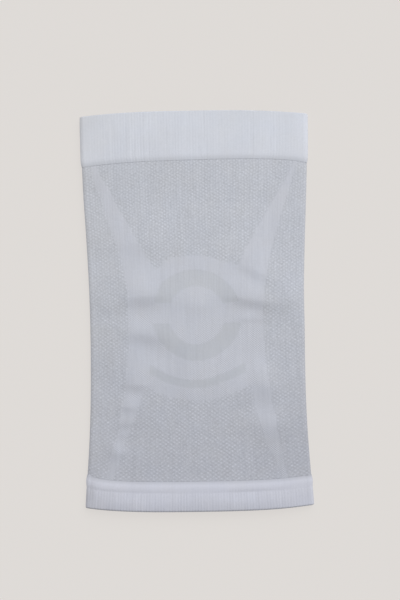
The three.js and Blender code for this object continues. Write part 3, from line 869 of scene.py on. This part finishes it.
def thighProfile():  # rows round the wall: y, depth below the outer face, droop, and the groove's pull
    y0 = bodyHigh.y + form["seamGap"]
    y1 = thighHigh.y
    along, down = quarterTurn(thighCuff["curlSteps"])
    straight = np.arange(y0 + thighCuff["seamCurl"], y1 - thighCuff["edgeCurl"], cuff["course"])
    lining = np.linspace(y1 - thighCuff["liningFrom"], y0 + thighCuff["liningTo"], thighCuff["liningRows"])
    t = np.linspace(0, 1, thighCuff["seamSteps"])
    drop = thighCuff["seamDrop"] * (1 + np.cos(np.pi * t ** thighCuff["seamEase"])) / 2
    seam = list(zip(y0 + thighCuff["seamCurl"] * t, drop))
    rim = [(y1 - thighCuff["edgeCurl"] * u, cuff["wall"] / 2 * v) for u, v in zip(along, down)][::-1]
    turned = [(y, cuff["wall"] - depth) for y, depth in rim[::-1][1:]]
    outside = seam + [(y, 0.0) for y in straight[1:]] + rim
    inside = turned + [(y, cuff["wall"]) for y in lining] + [(y0, cuff["wall"] * thighCuff["lip"])]
    rows = np.array(outside + inside)
    plain = np.zeros(len(rows))
    return np.column_stack([rows, plain, plain]), len(outside)


# the narrow cuff below the knee: ribs, a groove, and a smooth roll against the tube
calfCuff = {
    "edgeCurl": 0.0013, "curlSteps": 7, "hemLength": 0.0090, "hemDroop": 0.0022,
    "rollLength": 0.0079, "rollSteps": 13,
    "liningFrom": 0.001, "liningTo": 0.003, "liningRows": 7, "lip": 0.7,
    "grooveDepth": 0.00055, "grooveReach": 0.0012, "grooveSpread": 6, "grooveLeast": 0.85,
    "bend": [(0.0016, 0.0), (0.0009, 0.00005), (0.0003, 0.00012)],  # before the groove, and how far down
    "ribSink": 0.0004, "ribDepth": 0.00013, "ribStop": 0.0021, "ribFade": 0.0005,
    "unevenness": 0.4, "fading": 2.0, "ribLeast": 1.0, "plainRibs": 0.3,
    # rimTone and rimShade paint shade on the hem's turned edge; backRim keeps less of it at the back
    "toneReach": 0.0036, "rimTone": 0.0, "rimShade": -0.22, "backRim": 0.2, "bodyTone": 0.88,
}

# where round the cuff the groove is drawn in most; a share of 0.5 is the middle of the front
grooveSpots = [
    {"share": 0.39, "reach": 0.06, "more": 0.90},
    {"share": 0.61, "reach": 0.06, "more": 0.55},
    {"share": 0.70, "reach": 0.04, "more": 0.60},
]


def grooveStrength(share):
    total = np.full(share.shape, calfCuff["grooveLeast"])
    for row in grooveSpots:
        total += row["more"] * np.exp(-(((share - row["share"]) / row["reach"]) ** 2))
    return total


def calfProfile():
    y0 = calfLow.y
    y1 = bodyLow.y - form["seamGap"]
    groove = y1 - calfCuff["rollLength"]
    along, down = quarterTurn(calfCuff["curlSteps"])
    sink = calfCuff["ribSink"]
    half = (cuff["wall"] - sink) / 2
    rim = [(y0 + calfCuff["edgeCurl"] * u, sink + half * v) for u, v in zip(along, down)]
    straight = np.arange(y0 + calfCuff["edgeCurl"], groove - calfCuff["ribStop"], cuff["course"])
    bend = [(groove - before, sink + deeper) for before, deeper in calfCuff["bend"]]
    turn = np.linspace(0, np.pi, calfCuff["rollSteps"])
    roll = [(groove + calfCuff["rollLength"] * t / np.pi, calfCuff["grooveDepth"] * (1 - math.sin(t)))
            for t in turn]
    lining = np.linspace(y1 - calfCuff["liningFrom"], y0 + calfCuff["liningTo"], calfCuff["liningRows"])
    turned = [(y, cuff["wall"] - depth) for y, depth in rim[1:]][::-1]
    outside = rim + [(y, sink) for y in straight[1:]] + bend + roll
    inside = [(y1, cuff["wall"] * calfCuff["lip"])] + [(y, cuff["wall"]) for y in lining] + turned
    rows = np.array(outside + inside)
    droop = np.clip(1 - (rows[:, 0] - y0) / calfCuff["hemLength"], 0, 1) ** 2 * calfCuff["hemDroop"]
    above = rows[:, 0] - groove
    reach = calfCuff["grooveReach"] * np.where(above > 0, 1, calfCuff["grooveSpread"])
    drawn = np.exp(-((above / reach) ** 2)) * calfCuff["grooveDepth"]
    drawn[len(outside):] = 0
    return np.column_stack([rows, droop, drawn]), groove


# the fall in tone towards each seam is a painted shade
def toneRows(profile, seamY, look):  # for each row of a cuff, how white it is and how far it is in the rim
    away = np.abs(profile[:, 0] - seamY)
    white = np.clip(cuff["seamTone"] + away / look["toneReach"], 0, 1)
    white = white * np.where(away > calfCuff["rollLength"], look["bodyTone"], 1.0)
    rim = np.clip(1 - (away.max() - away) / cuff["rimReach"], 0, 1)
    return white[:, None], rim[:, None]


def makeCuff(name, profile, seamY, ribbed, look):
    columns = cuff["ribs"] * cuff["pointsInRib"]
    share = np.arange(columns) / columns
    y, depth, droop, drawn = (profile[:, k, None] for k in range(4))
    depth = depth + drawn * (grooveStrength(share) - 1)[None, :]
    points = sleevePoints(share[None, :], y, cuff["proud"], depth, droop)
    rows = len(profile)
    alongColumn = np.roll(points, -1, axis=0) - np.roll(points, 1, axis=0)
    alongRow = np.roll(points, -1, axis=1) - np.roll(points, 1, axis=1)
    outward = np.cross(alongColumn, alongRow)
    outward /= np.linalg.norm(outward, axis=-1, keepdims=True)
    course, column = np.meshgrid(np.arange(rows), np.arange(columns), indexing="ij")
    white, rim = toneRows(profile, seamY, look)
    # the turned rim of each cuff takes the mesh's deeper tone and a painted shade, standing for the shade
    # on its turned edge; backRim keeps less of it round the back
    front = np.clip(points[..., 2] / form["foldRadius"] - 1, 0, 1)
    rim = rim * (look["backRim"] + (1 - look["backRim"]) * front)
    values = {
        "rib": column.ravel() / cuff["pointsInRib"],
        "ribbed": (ribbed[:, None] * ribStrength(points[..., 0], look["ribLeast"])).ravel(),
        "wale": column.ravel() * 2 / cuff["pointsInRib"],
        "course": course.ravel(),
        "ribShare": (white * (1 - (1 - look["rimTone"]) * rim)).ravel(),
        "shade": (shadeAt(points) + look["rimShade"] * rim).ravel(),
        "outward": outward.reshape(-1, 3),
    }
    piece = makeObject(name, points, ringFaces(rows, columns), values)
    worked(piece, ribs, {"Rib depth": look["ribDepth"], "Unevenness": look["unevenness"],
                         "Fading": look["fading"], "Seed": cuff["seed"], "Material": materials["rib"]})
    print(name, len(piece.data.polygons), "faces")
    return piece


tube = makeTube()
thighRows, thighOutside = thighProfile()
thighRibbed = np.where(np.arange(len(thighRows)) < thighOutside, 1.0, thighCuff["plainRibs"])
thigh = makeCuff("cuff_thigh", thighRows, bodyHigh.y, thighRibbed, thighCuff)
calfRows, grooveY = calfProfile()
calfRibbed = np.where(calfRows[:, 0] < grooveY - calfCuff["ribFade"], 1.0, calfCuff["plainRibs"])
calf = makeCuff("cuff_calf", calfRows, bodyLow.y, calfRibbed, calfCuff)

# what each piece rides on; the solid it replaces is hidden
for row in tube.values():
    piece = row["piece"]
    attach(piece, "root")
    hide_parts(row["node"])
for piece, node, length in ((thigh, "thigh_cuff", thighHigh.y - bodyHigh.y),
                            (calf, "calf_cuff", bodyLow.y - calfLow.y)):
    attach(piece, "root")
    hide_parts(node)
print("pieces fixed to the frame")


# floor, light and camera
studio = {
    "floorSize": 8.0, "floorTone": (0.13, 0.1255, 0.1216), "floorGlow": (0.629, 0.604, 0.582),
    "floorRoughness": 0.95, "floorSpecular": 0.1,
    "domeTone": (1.0, 1.0, 1.0), "domeStrength": 0.50,
    "keyFrom": (0.42, 0.78, 0.95), "keyAngle": 50.0, "keyStrength": 1.32,
}
shot = {"lens": 100.0, "height": 0.408, "centre": (0.0025, 0.0077), "roll": -0.85}


def makeFloor():
    s = studio["floorSize"] / 2
    mesh = bpy.data.meshes.new("floor")
    mesh.from_pydata([(-s, -s, 0), (s, -s, 0), (s, s, 0), (-s, s, 0)], [], [(0, 1, 2, 3)])
    floor = bpy.data.objects.new("floor", mesh)
    bpy.context.scene.collection.objects.link(floor)
    material = bpy.data.materials.new("paleFloor")
    material.use_nodes = True
    shader = material.node_tree.nodes["Principled BSDF"]
    shader.inputs["Base Color"].default_value = studio["floorTone"] + (1.0,)
    shader.inputs["Emission Color"].default_value = studio["floorGlow"] + (1.0,)
    shader.inputs["Emission Strength"].default_value = 1.0  # lit from below too, so that shadows stay faint
    shader.inputs["Roughness"].default_value = studio["floorRoughness"]
    shader.inputs["Specular IOR Level"].default_value = studio["floorSpecular"]
    mesh.materials.append(material)


def makeLight():  # a broad soft key from the upper right, as far away as a window
    lamp = bpy.data.lights.new("key", "SUN")
    lamp.angle = math.radians(studio["keyAngle"])
    lamp.energy = studio["keyStrength"]
    light = bpy.data.objects.new("key", lamp)
    light.location = studio["keyFrom"]
    light.rotation_euler = light.location.to_track_quat("Z", "Y").to_euler()
    bpy.context.scene.collection.objects.link(light)


def makeCamera():
    camera = bpy.data.cameras.new("camera")
    camera.lens = shot["lens"]
    holder = bpy.data.objects.new("camera", camera)
    distance = shot["height"] / 2 / (camera.sensor_width / 2 / camera.lens)
    holder.location = (*shot["centre"], distance + bodyHigh.z)
    holder.rotation_euler = (0, 0, math.radians(shot["roll"]))
    bpy.context.scene.collection.objects.link(holder)
    bpy.context.scene.camera = holder


makeFloor()
makeLight()
makeCamera()
world = bpy.data.worlds.new("studio")
world.use_nodes = True
world.node_tree.nodes["Background"].inputs["Color"].default_value = studio["domeTone"] + (1.0,)
world.node_tree.nodes["Background"].inputs["Strength"].default_value = studio["domeStrength"]
bpy.context.scene.world = world
bpy.context.scene.view_settings.view_transform = "Standard"
print("floor, light and camera set")
